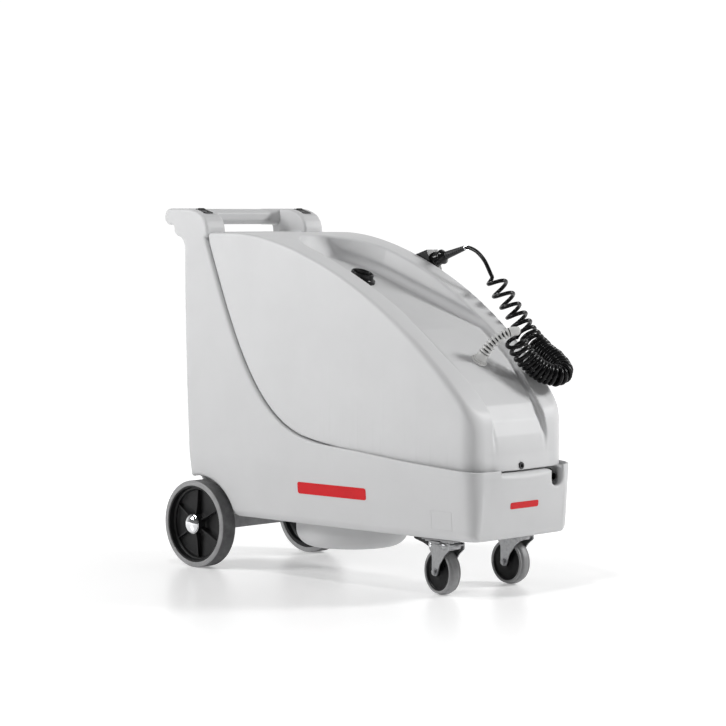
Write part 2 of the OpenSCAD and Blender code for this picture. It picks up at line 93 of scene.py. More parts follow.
M = {
    "body": material("body_plastic", (0.555, 0.557, 0.562), 0.5, grain=900, grain_depth=0.25, mottle=0.018,
                     mottle_scale=9, rough_var=0.05, specular=0.35),
    "tank": material("tank_plastic", (0.575, 0.577, 0.582), 0.48, grain=900, grain_depth=0.25, mottle=0.018,
                     mottle_scale=9, rough_var=0.05, specular=0.35),
    "black": material("black_plastic", (0.009, 0.009, 0.0095), 0.36, grain=1400, grain_depth=0.2, mottle=0.25,
                      mottle_scale=60, rough_var=0.08, specular=0.3),
    "gloss_black": material("gloss_black_plastic", (0.006, 0.006, 0.0065), 0.2, grain=500, grain_depth=0.06,
                            mottle=0.2, mottle_scale=50, rough_var=0.05, specular=0.32),
    "disc_black": material("disc_black", (0.004, 0.004, 0.0045), 0.3, grain=500, grain_depth=0.06, mottle=0.2,
                           mottle_scale=50, rough_var=0.06, specular=0.14),
    "zinc": material("zinc_plate", (0.34, 0.343, 0.35), 0.32, 0.9, grain=700, grain_depth=0.2, mottle=0.14,
                     mottle_scale=160, rough_var=0.12),
    "dark_steel": material("dark_paint", (0.22, 0.22, 0.225), 0.45, grain=900, grain_depth=0.2, mottle=0.15,
                           mottle_scale=40, rough_var=0.08),
    "chrome": material("chrome", (0.82, 0.83, 0.84), 0.07, 1.0, grain=300, grain_depth=0.03, mottle=0.03,
                       mottle_scale=60, rough_var=0.03),
    "tyre_tread": material("tyre_tread_rubber", (0.13, 0.13, 0.133), 0.72, grain=1500, grain_depth=0.5,
                           mottle=0.22, mottle_scale=45, rough_var=0.1),
    "tyre_side": material("tyre_side_rubber", (0.27, 0.27, 0.273), 0.55, grain=1300, grain_depth=0.3,
                          mottle=0.10, mottle_scale=45, rough_var=0.1),
    "caster_rubber": material("caster_rubber", (0.25, 0.25, 0.253), 0.5, grain=1300, grain_depth=0.3,
                              mottle=0.10, mottle_scale=60, rough_var=0.1),
    "gland": material("gland_grey", (0.58, 0.58, 0.57), 0.42, grain=900, grain_depth=0.2, mottle=0.03,
                      mottle_scale=60, rough_var=0.05),
    "cable": material("cable_sheath", (0.004, 0.004, 0.0045), 0.26, grain=600, grain_depth=0.12, mottle=0.2,
                      mottle_scale=90, rough_var=0.06, specular=0.2),
    "soft_black": material("soft_black_rubber", (0.022, 0.022, 0.024), 0.5, grain=1500, grain_depth=0.35,
                           mottle=0.2, mottle_scale=80, rough_var=0.1),
    "motor": material("motor_paint", (0.07, 0.07, 0.075), 0.4, grain=800, grain_depth=0.2, mottle=0.15,
                      mottle_scale=50, rough_var=0.1),
    "white": material("natural_moulding", (0.72, 0.70, 0.64), 0.4, grain=800, grain_depth=0.1, mottle=0.04,
                      mottle_scale=40, rough_var=0.05),
    "red": material("red_film", (0.56, 0.004, 0.009), 0.36, grain=900, grain_depth=0.08, mottle=0.05,
                    mottle_scale=60, rough_var=0.05, specular=0.25),
}


# ---------------------------------------------------------------- mesh helpers
def piece(name, verts, faces, mat, node=None, slot=None, body=None, mats=None, face_mats=None,
          bevel=0.0, bevel_segments=2, sharp=35.0, normals=None):
    """A finished piece from millimetre vertices. It rides on its node's body and stands for that node."""
    mesh = bpy.data.meshes.new(name)
    mesh.from_pydata([tuple(c * MM for c in v) for v in verts], [], [tuple(f) for f in faces])
    for m in mats or [mat]:
        mesh.materials.append(M[m])
    if face_mats is not None:
        mesh.polygons.foreach_set("material_index", np.asarray(face_mats, np.int32))
    mesh.update()
    obj = bpy.data.objects.new(name, mesh)
    scene.collection.objects.link(obj)
    mesh.polygons.foreach_set("use_smooth", np.ones(len(mesh.polygons), bool))
    if normals is not None:
        mesh.normals_split_custom_set_from_vertices(normals)
    elif not bevel:
        split = obj.modifiers.new("edges", "EDGE_SPLIT")
        split.split_angle = math.radians(sharp)
    if bevel:
        mod = obj.modifiers.new("bevel", "BEVEL")
        mod.width = bevel * MM
        mod.segments = bevel_segments
        mod.limit_method = "ANGLE"
        mod.angle_limit = math.radians(32)
        mod.harden_normals = False
        weighted = obj.modifiers.new("normals", "WEIGHTED_NORMAL")
        weighted.keep_sharp = True
    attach(obj, body or BODY_OF[node if isinstance(node, str) else node[0]])
    if node:
        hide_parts(*([node] if isinstance(node, str) else node))
    return obj


def placed(verts, matrix):
    v = np.asarray(verts, float)
    m = np.array(matrix)
    return v @ m[:3, :3].T + m[:3, 3]


def turn(axis, degrees):
    return Matrix.Rotation(math.radians(degrees), 4, axis)


def shift(x, y, z):
    return Matrix.Translation((x, y, z))


def lathe(profile, steps):
    """A closed outline of (radius, height) points, turned about local Z."""
    verts, faces = [], []
    n = len(profile)
    for k in range(steps):
        a = 2 * math.pi * k / steps
        verts += [(r * math.cos(a), r * math.sin(a), h) for r, h in profile]
    for k in range(steps):
        k2 = (k + 1) % steps
        for i in range(n):
            j = (i + 1) % n
            faces.append((k * n + i, k2 * n + i, k2 * n + j, k * n + j))
    return verts, faces


def merged(parts):
    """Several (verts, faces) as one."""
    verts, faces = [], []
    for v, f in parts:
        base = len(verts)
        verts += [tuple(p) for p in v]
        faces += [tuple(i + base for i in q) for q in f]
    return verts, faces


def prism(outline, x0, x1):
    """An outline of (y, z) points, pushed from x0 to x1."""
    n = len(outline)
    verts = [(x0, y, z) for y, z in outline] + [(x1, y, z) for y, z in outline]
    faces = [tuple(range(n)), tuple(range(2 * n - 1, n - 1, -1))]
    faces += [(i, i + n, (i + 1) % n + n, (i + 1) % n) for i in range(n)]
    return verts, faces


def recalculated(obj):
    bm = bmesh.new()
    bm.from_mesh(obj.data)
    bmesh.ops.remove_doubles(bm, verts=bm.verts, dist=1e-6)
    bmesh.ops.recalc_face_normals(bm, faces=bm.faces)
    bm.to_mesh(obj.data)
    bm.free()
    return obj


def rounded(points, radius, steps=4, radii=None):
    """A closed outline with its corners cut to arcs."""
    out = []
    n = len(points)
    for i in range(n):
        r = radii[i] if radii else radius
        p, a, b = (np.array(points[j % n], float) for j in (i, i - 1, i + 1))
        u, v = (a - p) / np.linalg.norm(a - p), (b - p) / np.linalg.norm(b - p)
        half = math.acos(max(-1, min(1, float(u @ v)))) / 2
        if r <= 0 or half > 1.5:
            out.append(tuple(p))
            continue
        back = min(r / math.tan(half), 0.49 * np.linalg.norm(a - p), 0.49 * np.linalg.norm(b - p))
        s, e = p + u * back, p + v * back
        for t in np.linspace(0, 1, steps + 1):
            out.append(tuple((1 - t) ** 2 * s + 2 * t * (1 - t) * p + t * t * e))
    return out


def bezier(a, b, c, d, n):
    t = np.linspace(0, 1, n + 1)[:, None]
    a, b, c, d = (np.array(p, float) for p in (a, b, c, d))
    return (1 - t) ** 3 * a + 3 * t * (1 - t) ** 2 * b + 3 * t * t * (1 - t) * c + t ** 3 * d


def spline(points, n):
    """Catmull-Rom curve through points, n steps per span."""
    p = np.array(points, float)
    out = []
    for i in range(len(p) - 1):
        a, b, c, d = p[max(i - 1, 0)], p[i], p[i + 1], p[min(i + 2, len(p) - 1)]
        for t in np.arange(n) / n:
            out.append(0.5 * (2 * b + (c - a) * t + (2 * a - 5 * b + 4 * c - d) * t ** 2
                              + (3 * b - a - 3 * c + d) * t ** 3))
    out.append(p[-1])
    return np.array(out)


def ease(value, low, high):
    t = np.clip((value - low) / (high - low), 0, 1)
    return t * t * (3 - 2 * t)


def arc_lengths(path):
    return np.concatenate([[0], np.cumsum(np.linalg.norm(np.diff(path, axis=0), axis=1))])


def resampled(path, count):
    s = arc_lengths(path)
    t = np.linspace(0, s[-1], count)
    return np.stack([np.interp(t, s, path[:, k]) for k in range(3)], 1)


def frames_along(path, start):
    """Tangents and two steady cross directions, carried along the path without twisting."""
    tangent = np.gradient(path, axis=0)
    tangent /= np.linalg.norm(tangent, axis=1)[:, None]
    u = np.array(start, float)
    side, up = [], []
    for t in tangent:
        u = u - t * (u @ t)
        u /= np.linalg.norm(u)
        side.append(u)
        up.append(np.cross(t, u))
    return tangent, np.array(side), np.array(up)


def tube(path, radii, sides):
    _, side, up = frames_along(path, WAY)
    a = np.linspace(0, 2 * math.pi, sides, endpoint=False)
    rings = (path[:, None, :] + np.asarray(radii)[:, None, None]
             * (np.cos(a)[None, :, None] * side[:, None, :] + np.sin(a)[None, :, None] * up[:, None, :]))
    n = len(path)
    faces = [(i * sides + k, i * sides + (k + 1) % sides, (i + 1) * sides + (k + 1) % sides,
              (i + 1) * sides + k) for i in range(n - 1) for k in range(sides)]
    faces += [tuple(range(sides))[::-1], tuple((n - 1) * sides + k for k in range(sides))]
    return rings.reshape(-1, 3), faces


# ---------------------------------------------------------------- camera
camera_data = bpy.data.cameras.new("camera")
camera_data.lens = 124.14
camera_data.sensor_width = 36
camera_data.clip_end = 60
camera = bpy.data.objects.new("camera", camera_data)
camera.location = (-4.014, -3.914, 0.8085)
camera.rotation_euler = (math.radians(86.61), 0, math.radians(-45.63))
scene.collection.objects.link(camera)
scene.camera = camera

# ---------------------------------------------------------------- cord
CORD_D = 9.0
COIL_D = 52.0
HELIX_START = 2.0
WAY = (0.35, 0.3, 0.9)
BOOT = [(0, -341, 500), (1, -354, 520), (20, -384, 564), (56, -400, 559)]
# the same routes as the CAD's, in millimetres
boot_route = bezier(*BOOT, 40)
tail_route = np.array([(56, -400, 559), (59, -400, 557.5), (62, -400, 554), (63, -399, 548)], float)
coil_route = resampled(spline([(58, -385, 545), (70, -388, 523), (84, -398, 500), (98, -410, 482),
                               (116, -424, 468), (138, -437, 462), (160, -434, 470), (176, -404, 488),
                               (185, -362, 508), (190, -322, 536), (193, -293, 563), (196, -257, 602),
                               (198, -216, 650), (199, -194, 674)], 12), 600)
lead_route = spline([(199, -194, 674), (199, -186, 688), (199, -174, 706), (199, -155, 723),
                     (199, -136, 732), (199, -120, 735.2)], 8)


def helix(route, radius, points_per_turn=22):
    """A curly cord wound round route: a dense bundle through the bend, then wider turns to the top, which lean."""
    s = arc_lengths(route)
    total = s[-1]
    pitch = np.interp(s, [0, 30, 62, 75, total - 235, total - 205, total - 150, total - 60, total],
                      [18, 16, 10, 9.2, 9.3, 14, 22, 34, 37])
    turns = np.concatenate([[0], np.cumsum(np.diff(s) / ((pitch[1:] + pitch[:-1]) / 2))])
    ahead, side, up = frames_along(route, WAY)
    count = int(turns[-1] * points_per_turn)
    t = np.linspace(0, turns[-1], count)
    at = np.interp(t, turns, s)

    def pick(values):
        return np.stack([np.interp(at, s, values[:, k]) for k in range(3)], 1)
    grow = np.clip(np.minimum(t / 0.6, (turns[-1] - t) / 0.6), 0, 1)
    grow = grow * grow * (3 - 2 * grow)
    wander = 1 + 0.03 * np.sin(t * 2.3) + 0.02 * np.sin(t * 5.1 + 1)
    angle = HELIX_START - 2 * math.pi * t
    r = (radius * grow * wander)[:, None]
    out = r * (np.cos(angle)[:, None] * pick(side) + np.sin(angle)[:, None] * pick(up))
    lean = 0.42 * ease(at, total - 215, total - 150) * (out @ (0.71, 0.70, 0))
    return pick(route) + out + lean[:, None] * pick(ahead)


coil_line = helix(coil_route, COIL_D / 2 - CORD_D / 2 - 0.4)
cord_line = np.vstack([boot_route[2:-1:2], tail_route[:3], coil_line[3:-3], lead_route[2:]])
# soften the joins between the stretches
for _ in range(2):
    cord_line[1:-1] = 0.25 * cord_line[:-2] + 0.5 * cord_line[1:-1] + 0.25 * cord_line[2:]
curve = bpy.data.curves.new("curly_cord", "CURVE")
curve.dimensions = "3D"
line = curve.splines.new("POLY")
line.points.add(len(cord_line) - 1)
for point, p in zip(line.points, cord_line):
    point.co = (*(p * MM), 1)
curve.bevel_depth = CORD_D / 2 * MM
curve.bevel_resolution = 4
curve.use_fill_caps = True
curve.materials.append(M["cable"])
cord = bpy.data.objects.new("curly_cord", curve)
scene.collection.objects.link(cord)
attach(cord, "tank")
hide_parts("cord_tail", "cord_coil", "cord_lead")


# ---------------------------------------------------------------- smooth moulded shells
def outline_distance(points, px, py):
    """Signed distance, negative inside, from every (px, py) to a closed outline."""
    p = np.array(points, float)
    best = np.full(np.broadcast(px, py).shape, 1e9)
    inside = np.zeros(best.shape, bool)
    for (ax, ay), (bx, by) in zip(p, np.roll(p, -1, axis=0)):
        ex, ey = bx - ax, by - ay
        if ex * ex + ey * ey < 1e-9:
            continue
        wx, wy = px - ax, py - ay
        t = np.clip((wx * ex + wy * ey) / (ex * ex + ey * ey), 0, 1)
        best = np.minimum(best, np.hypot(wx - ex * t, wy - ey * t))
        if ey:
            inside ^= ((ay > py) != (by > py)) & (px < ex * (py - ay) / ey + ax)
    return np.where(inside, -best, best).astype(np.float32)


def line_distance(points, px, py):
    """Distance from every (px, py) to an open line."""
    best = np.full(np.broadcast(px, py).shape, 1e9)
    for (ax, ay), (bx, by) in zip(points[:-1], points[1:]):
        ex, ey = bx - ax, by - ay
        wx, wy = px - ax, py - ay
        t = np.clip((wx * ex + wy * ey) / (ex * ex + ey * ey), 0, 1)
        best = np.minimum(best, np.hypot(wx - ex * t, wy - ey * t))
    return best.astype(np.float32)


def both(a, b, r):
    """Inside both a and b, with the edge between them rounded to radius r."""
    return np.minimum(np.maximum(a, b), -r) + np.hypot(np.maximum(a + r, 0), np.maximum(b + r, 0))


def either(a, b, r):
    """Inside a or b, with the hollow between them filled to radius r."""
    return np.maximum(np.minimum(a, b), r) - np.hypot(np.maximum(r - a, 0), np.maximum(r - b, 0))


def without(a, b, r):
    return both(a, -b, r)


CORNERS = [(i, j, k) for i in (0, 1) for j in (0, 1) for k in (0, 1)]
EDGES = [(a, b) for a in CORNERS for b in CORNERS if sum(b) - sum(a) == 1 and all(q >= p for p, q in zip(a, b))]


def contour(field, axes):
    """Surface nets: the zero surface of a field on a grid, as vertices and quads."""
    inside = field < 0
    n = [s - 1 for s in field.shape]
    count = np.zeros(n, np.int8)
    for i, j, k in CORNERS:
        count += inside[i:i + n[0], j:j + n[1], k:k + n[2]]
    active = (count > 0) & (count < 8)
    cells = np.argwhere(active)
    index = np.full(n, -1, np.int32)
    index[active] = np.arange(len(cells))
    total, hits = np.zeros((len(cells), 3)), np.zeros(len(cells))
    for a, b in EDGES:
        ia, ib = cells + a, cells + b
        fa, fb = field[tuple(ia.T)], field[tuple(ib.T)]
        cross = (fa < 0) != (fb < 0)
        t = np.where(cross, fa / np.where(cross, fa - fb, 1), 0)[:, None]
        pa = np.stack([axes[d][ia[:, d]] for d in range(3)], 1)
        pb = np.stack([axes[d][ib[:, d]] for d in range(3)], 1)
        total += np.where(cross[:, None], pa + t * (pb - pa), 0)
        hits += cross
    verts = total / hits[:, None]
    quads = []
    for d in range(3):
        e, f = (d + 1) % 3, (d + 2) % 3
        here = np.moveaxis(inside, (d, e, f), (0, 1, 2))
        cell = np.moveaxis(index, (d, e, f), (0, 1, 2))
        change = here[:-1, 1:-1, 1:-1] != here[1:, 1:-1, 1:-1]
        i, j, k = np.nonzero(change)
        quad = np.stack([cell[i, j, k], cell[i, j + 1, k], cell[i, j + 1, k + 1], cell[i, j, k + 1]], 1)
        out = here[:-1, 1:-1, 1:-1][i, j, k]
        quad[~out] = quad[~out][:, ::-1]
        quads.append(quad)
    return verts, np.concatenate(quads)


def sampled(field, axes, points):
    """The field's value at points, read between its grid points."""
    at, part = [], []
    for d in range(3):
        f = np.clip((points[:, d] - axes[d][0]) / (axes[d][1] - axes[d][0]), 0, len(axes[d]) - 1.001)
        at.append(f.astype(int))
        part.append(f - f.astype(int))
    value = 0
    for i, j, k in CORNERS:
        w = ((part[0] if i else 1 - part[0]) * (part[1] if j else 1 - part[1]) * (part[2] if k else 1 - part[2]))
        value = value + w * field[at[0] + i, at[1] + j, at[2] + k]
    return value


def shell_piece(name, field, axes, mat, node, slot, keep):
    """A moulded shell from its field: contoured, thinned where it is flat, and shaded by the field's own slope."""
    verts, quads = contour(field, axes)
    mesh = bpy.data.meshes.new("draft")
    mesh.from_pydata(verts.tolist(), [], quads.tolist())
    draft = bpy.data.objects.new("draft", mesh)
    scene.collection.objects.link(draft)
    if keep < 1:
        mod = draft.modifiers.new("thin", "DECIMATE")
        mod.ratio = keep
    bpy.context.view_layer.update()
    thin = bpy.data.meshes.new_from_object(draft.evaluated_get(bpy.context.evaluated_depsgraph_get()))
    co = np.zeros(len(thin.vertices) * 3, np.float32)
    thin.vertices.foreach_get("co", co)
    co = co.reshape(-1, 3).astype(float)
    faces = [tuple(p.vertices) for p in thin.polygons]
    bpy.data.objects.remove(draft)
    bpy.data.meshes.remove(mesh)
    bpy.data.meshes.remove(thin)
    h = axes[0][1] - axes[0][0]
    slope = np.stack([sampled(field, axes, co + h * step) - sampled(field, axes, co - h * step)
                      for step in np.eye(3)], 1)
    slope /= np.maximum(np.linalg.norm(slope, axis=1), 1e-6)[:, None]
    print(name, len(co), "vertices")
    piece(name, co, faces, mat, node=node, slot=slot, normals=slope.tolist())


def grid(x, y, z, step):
    axes = [np.arange(lo, hi + step, step) for lo, hi in (x, y, z)]
    return axes, axes[0][:, None, None], axes[1][None, :, None], axes[2][None, None, :]


def turned(points):
    """The right half of a plan and its mirror image, as one outline."""
    p = [tuple(q) for q in points]
    return p + [(-x, y) for x, y in p[::-1]]


def plan_half(hw_r, hw_f, y_r, r_r, y_f, r_f, bow):
    parts = [bezier((hw_r - r_r, y_r), (hw_r - r_r * 0.45, y_r), (hw_r, y_r - r_r * 0.45), (hw_r, y_r - r_r), 8),
             bezier((hw_r, y_r - r_r - 20), (hw_r, 60), (hw_r - 5, -200), (hw_f, y_f + r_f), 30),
             bezier((hw_f - 1, y_f + r_f * 0.8), (hw_f - 3, y_f + r_f * 0.35),
                    (hw_f - r_f * 0.5, y_f + 1), (hw_f - r_f, y_f - 2), 10),
             bezier((hw_f - r_f - 20, y_f - bow * 0.35), (70, y_f - bow * 0.8),
                    (40, y_f - bow), (0, y_f - bow), 10)]
    return np.vstack(parts)


UNDER = 125.0
BASE_HW, BASE_FRONT_HW, INSET, SEAM = 187.0, 168.0, 6.0, 3.0
AXLE = (360.0, 100.0)
HINGE = (320.0, 758.0)
TOP = 823.0
GRIP_R = 19.0
GRIP = (456.0, TOP - GRIP_R)
POST_IN = 127.0
SWITCH, SWITCH_TILT = (157, 368, 818), 15.6
SCOOP_X = 105
LOCK = (-5, -447, 278)
PORT, PORT_TILT = (0, 20, 661.5), 20.22
seam_line = np.vstack([bezier((340, 769), (250, 540), (180, 345), (0, 313), 40),
                       [(-100, 296), (-274, 279), (-480, 264)]])
ridge_line = np.vstack([bezier((250, 768), (60, 768), (-245, 632), (-425, 417), 50),
                        bezier((-432, 408), (-450, 386), (-462, 366), (-462, 335), 12)])
channel_floor = [(200, 800), (190, 768), (160, 713), (-250, 562), (-305, 520), (-336, 495),
                 (-380, 452), (-420, 406), (-440, 373), (-451, 342), (-458, 310), (-463, 290)]
gully_half = np.vstack([bezier((0, 170), (40, 170), (84, 130), (98, 50), 16),
                        [(101, -60), (101, -220), (97, -325), (92, -367), (84, -415), (79, -480)]])
STEP, KEEP = ((3.0, 0.3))


def tilted(origin, degrees, x, y, z):
    """Height above and distance from an axis through origin, leaning forward by degrees."""
    s, c = math.sin(math.radians(degrees)), math.cos(math.radians(degrees))
    h = -(y - origin[1]) * s + (z - origin[2]) * c
    across = (y - origin[1]) * c + (z - origin[2]) * s
    return h, np.hypot(x - origin[0], across)


def lower_body():
    axes, x, y, z = grid((-192, 192), (-482, 482), (118, 832), STEP)
    y2, z2 = axes[1][:, None], axes[2][None, :]
    side = rounded([(-463, UNDER + 8), (-458, UNDER), (378, UNDER), (385, UNDER + 8), (392, 232), (418, 742),
                    (418, 769)], 0, radii=[4, 6, 6, 10, 30, 14, 0])
    side = outline_distance(side + [tuple(p) for p in seam_line], y2, z2)
    post = rounded([(327, 760), (328, 780), (333, 794), (342, 806), (358, 815), (374, 820), (392, TOP),
                    (GRIP[0], TOP), (GRIP[0], TOP - 2 * GRIP_R), (444, 785), (441, 767), (434, 760), (418, 754),
                    (410, 748)], 8, radii=[0, 12, 10, 16, 16, 16, 20, 0, 0, 6, 8, 8, 6, 0])
    post = np.minimum(outline_distance(post, y2, z2), np.hypot(y2 - GRIP[0], z2 - GRIP[1]) - GRIP_R)
    post = either(side, post, 4)
    plan = outline_distance(turned(plan_half(BASE_HW, BASE_FRONT_HW, 418, 26, -466, 35, 9)),
                            axes[0][:, None], axes[1][None, :])
    # the walls lean in a little below their widest height; the nose of the grip stands past the back wall
    narrow = np.interp(axes[2], [UNDER, UNDER + 14, 262], [1.09, 1.05, 1.0])
    walls = np.empty((len(axes[0]), len(axes[1]), len(axes[2])), np.float32)
    at = np.arange(len(axes[0]))
    middle = (len(axes[0]) - 1) / 2
    for k, s in enumerate(narrow):
        f = np.clip(middle + (at - middle) * s, 0, len(at) - 1.001)
        i, part = f.astype(int), (f - f.astype(int))[:, None]
        walls[:, :, k] = plan[i] * (1 - part) + plan[i + 1] * part + (s - 1) * 45
    near_seam = line_distance(seam_line, y2, z2)
    at_seam = 3 + 6 * ease(z2, 320, 480)
    radius = (at_seam + (11 - at_seam) * ease(near_seam, 6, 45))[None]
    body = both(walls, side[None], radius)
    flank = np.abs(x) - BASE_HW
    above = ease(axes[2], 735, 765)[None, None, :]
    post_walls = walls * (1 - above) + flank * above
    posts = both(both(post_walls, post[None], 7), POST_IN - np.abs(x), 6)
    field = np.minimum(body, posts)
    web = np.hypot(y - AXLE[0], z - AXLE[1]) - 110
    field = without(field, both(web, 150 - np.abs(x), 10), 6)
    slant = 0.787 * (y + 464) - 0.618 * (z - 268)
    notch = both(both(-80 - x, x - 82, 5), both(slant, 252 - z, 3), 4)
    field = without(field, notch, 2)
    scoop = np.minimum(np.hypot(x - SCOOP_X, z - 247) - 20, np.maximum(np.abs(x - SCOOP_X) - 20, 247 - z))
    field = without(field, both(scoop, y + 436, 6), 4)
    s, c = math.sin(math.radians(SWITCH_TILT)), math.cos(math.radians(SWITCH_TILT))
    dy, dz = y - SWITCH[1], z - SWITCH[2]
    along, rise = dy * c + dz * s, dz * c - dy * s
    seat = np.maximum(np.maximum(np.abs(np.abs(x) - SWITCH[0]) - 12, np.abs(along) - 17), -9 - rise)
    field = np.maximum(field, -seat)
    h, away = tilted((0, -187, 287.5), 5.58, x, y, z)
    field = np.maximum(field, -np.maximum(away - 80.3, -2.7 - h))
    field = field.astype(np.float32)
    shell_piece("lower_body", field, axes, "body", "base_shell", "body_plastic", KEEP)
    return field, axes


def recovery_tank():
    axes, x, y, z = grid((-187, 187), (-470, 346), (252, 776), STEP)
    y2, z2 = axes[1][:, None], axes[2][None, :]
    x1, y1 = axes[0][:, None], axes[1][None, :]
    upper = outline_distance([(330, 700), (HINGE[0] + 8, HINGE[1] + 3), (HINGE[0] + 6, HINGE[1] + 7),
                              (HINGE[0], 768)] + [tuple(p) for p in ridge_line] + [(-462, 200), (330, 200)], y2, z2)
    lower = outline_distance([(-500, 100), (500, 100), (500, 769)] + [tuple(p) for p in seam_line], y2, z2)
    side = both(upper, SEAM - lower, 1.5)
    side = np.minimum(side, np.hypot(y2 - HINGE[0], z2 - HINGE[1]) - 10)
    walls = outline_distance(turned(plan_half(BASE_HW - INSET, BASE_FRONT_HW - 13, 360, 10, -453, 42, 9)), x1, y1)
    near_seam = line_distance(seam_line, y2, z2)
    ridge_r = 6 + 9 * ease(-axes[1], 120, 430)[:, None]
    at_seam = 1.5 + 3 * ease(z2, 320, 480)
    radius = (at_seam + (ridge_r - at_seam) * ease(near_seam, 6, 40))[None]
    field = both(walls[:, :, None], side[None], radius)
    beyond = [(-560, 300), (-560, 850), (200, 850)]
    above_floor = outline_distance(channel_floor + beyond, y2, z2)[None]
    past_wall = outline_distance(turned(gully_half), x1, y1)[:, :, None]
    # the walls lean out as they rise and are undercut along their foot, less so towards the front
    foot = 4 + 8 * ease(axes[1], -400, -300)[None, :, None]
    lean = 0.33 * ease(axes[1], -340, -200)[None, :, None] * np.clip(-above_floor, 0, 75)
    gully = both(above_floor, past_wall - lean, 4)
    gully = either(gully, np.hypot(past_wall, above_floor + foot - 1) - foot, 5)
    field = without(field, gully, 4)
    notch = np.maximum(np.abs(np.abs(x) - 72) - 14.5, np.maximum(HINGE[0] - 9 - y, HINGE[1] - 9 - z))
    field = without(field, notch, 1.5)
    h, away = tilted(PORT, PORT_TILT, x, y, z)
    field = np.maximum(field, -np.maximum(away - 26, -110 - h))
    field = np.maximum(field, -np.maximum(np.hypot(x - LOCK[0], z - LOCK[2]) - 6.4, y + 440))
    shell_piece("recovery_tank", field.astype(np.float32), axes, "tank", "tank_shell", "tank_plastic", KEEP)


base_field, base_axes = lower_body()
recovery_tank()


# ---------------------------------------------------------------- handle, marks and small body parts
def crossbar():
    axes, x, y, z = grid((-130, 130), (412, 480), (780, 828), 2.0)
    y2, z2 = axes[1][:, None], axes[2][None, :]
    front = rounded([(GRIP[0], TOP - 2 * GRIP_R), (436, TOP - 2 * GRIP_R), (425, 795), (425, 812), (433, TOP),
                     (GRIP[0], TOP)], 5, radii=[0, 8, 6, 3, 3, 0])
    bar = np.minimum(outline_distance(front, y2, z2), np.hypot(y2 - GRIP[0], z2 - GRIP[1]) - GRIP_R)[None]
    flare = 11 * ease(np.abs(x), 96, 128) ** 2
    field = both(both(bar - flare, np.maximum(z - TOP, TOP - 2 * GRIP_R - z), 3), np.abs(x) - 128.5, 0.5)
    field = both(field, y - GRIP[0] - GRIP_R, 2)
    shell_piece("handle_crossbar", field.astype(np.float32), axes, "body", "handle_bar", "body_plastic", 1)


def surface_at(axis, a, b, sign):
    """Where the lower body's skin is: along X for the side (a=y, b=z), along Y for the front (a=x, b=z)."""
    first, second = [i for i in range(3) if i != axis]
    ia = (a - base_axes[first][0]) / (base_axes[first][1] - base_axes[first][0])
    ib = (b - base_axes[second][0]) / (base_axes[second][1] - base_axes[second][0])
    i, j = int(ia), int(ib)
    fi, fj = ia - i, ib - j
    block = np.moveaxis(base_field, axis, 2)
    run = (block[i, j] * (1 - fi) * (1 - fj) + block[i + 1, j] * fi * (1 - fj)
           + block[i, j + 1] * (1 - fi) * fj + block[i + 1, j + 1] * fi * fj)
    at = base_axes[axis]
    order = range(len(at) - 1) if sign < 0 else range(len(at) - 2, -1, -1)
    for k in order:
        if (run[k] < 0) != (run[k + 1] < 0):
            t = run[k] / (run[k] - run[k + 1])
            return at[k] + t * (at[k + 1] - at[k])
    raise ValueError("no skin there")


def skin_patch(axis, sign, low, high, corner, lift, columns, rows):
    """A thin patch lying on the lower body's skin, with rounded corners: (verts, faces)."""
    outer, inner, faces = [], [], []
    heights = np.linspace(low[1], high[1], rows + 1)
    for h in heights:
        edge = min(h - low[1], high[1] - h)
        pull = corner - math.sqrt(max(0, corner ** 2 - (corner - edge) ** 2)) if edge < corner else 0
        for a in np.linspace(low[0] + pull, high[0] - pull, columns + 1):
            s = surface_at(axis, a, h, sign)
            for store, gap in ((outer, lift), (inner, -0.4)):
                p = [a, a, a]
                p[axis] = s + sign * gap
                p[2] = h
                p[1 - axis] = a
                store.append(tuple(p))
    n = columns + 1
    for r in range(rows):
        for c in range(columns):
            q = (r * n + c, r * n + c + 1, (r + 1) * n + c + 1, (r + 1) * n + c)
            faces.append(q)
            faces.append(tuple(i + len(outer) for i in q[::-1]))
    rim = ([c for c in range(columns)] + [r * n + columns for r in range(rows)]
           + [rows * n + c for c in range(columns, 0, -1)] + [r * n for r in range(rows, 0, -1)])
    for i, j in zip(rim, rim[1:] + rim[:1]):
        faces.append((i, i + len(outer), j + len(outer), j))
    return outer + inner, faces


def marks():
    side = skin_patch(0, -1, (-167, 194), (39, 220), 5, 0.5, 40, 14)
    recalculated(piece("blank_side_film", *side, "red", node="side_badge", slot="red_film", sharp=50))
    front = skin_patch(1, -1, (-47, 188.5), (43, 202.5), 3.5, 0.5, 30, 10)
    recalculated(piece("blank_front_film", *front, "red", node="front_badge", slot="red_film", sharp=50))
    w = 1.7
    strips = [((-405, 146), (-348, 146 + w)), ((-405, 187 - w), (-348, 187)),
              ((-405, 146), (-405 + w, 187)), ((-348 - w, 146), (-348, 187))]
    frame_parts = [skin_patch(0, -1, lo, hi, 0.3, 0.45, 14 if hi[0] - lo[0] > 9 else 2,
                              14 if hi[1] - lo[1] > 9 else 2) for lo, hi in strips]
    recalculated(piece("moulded_square", *merged(frame_parts), "body", slot="body_plastic", body="base", sharp=50))


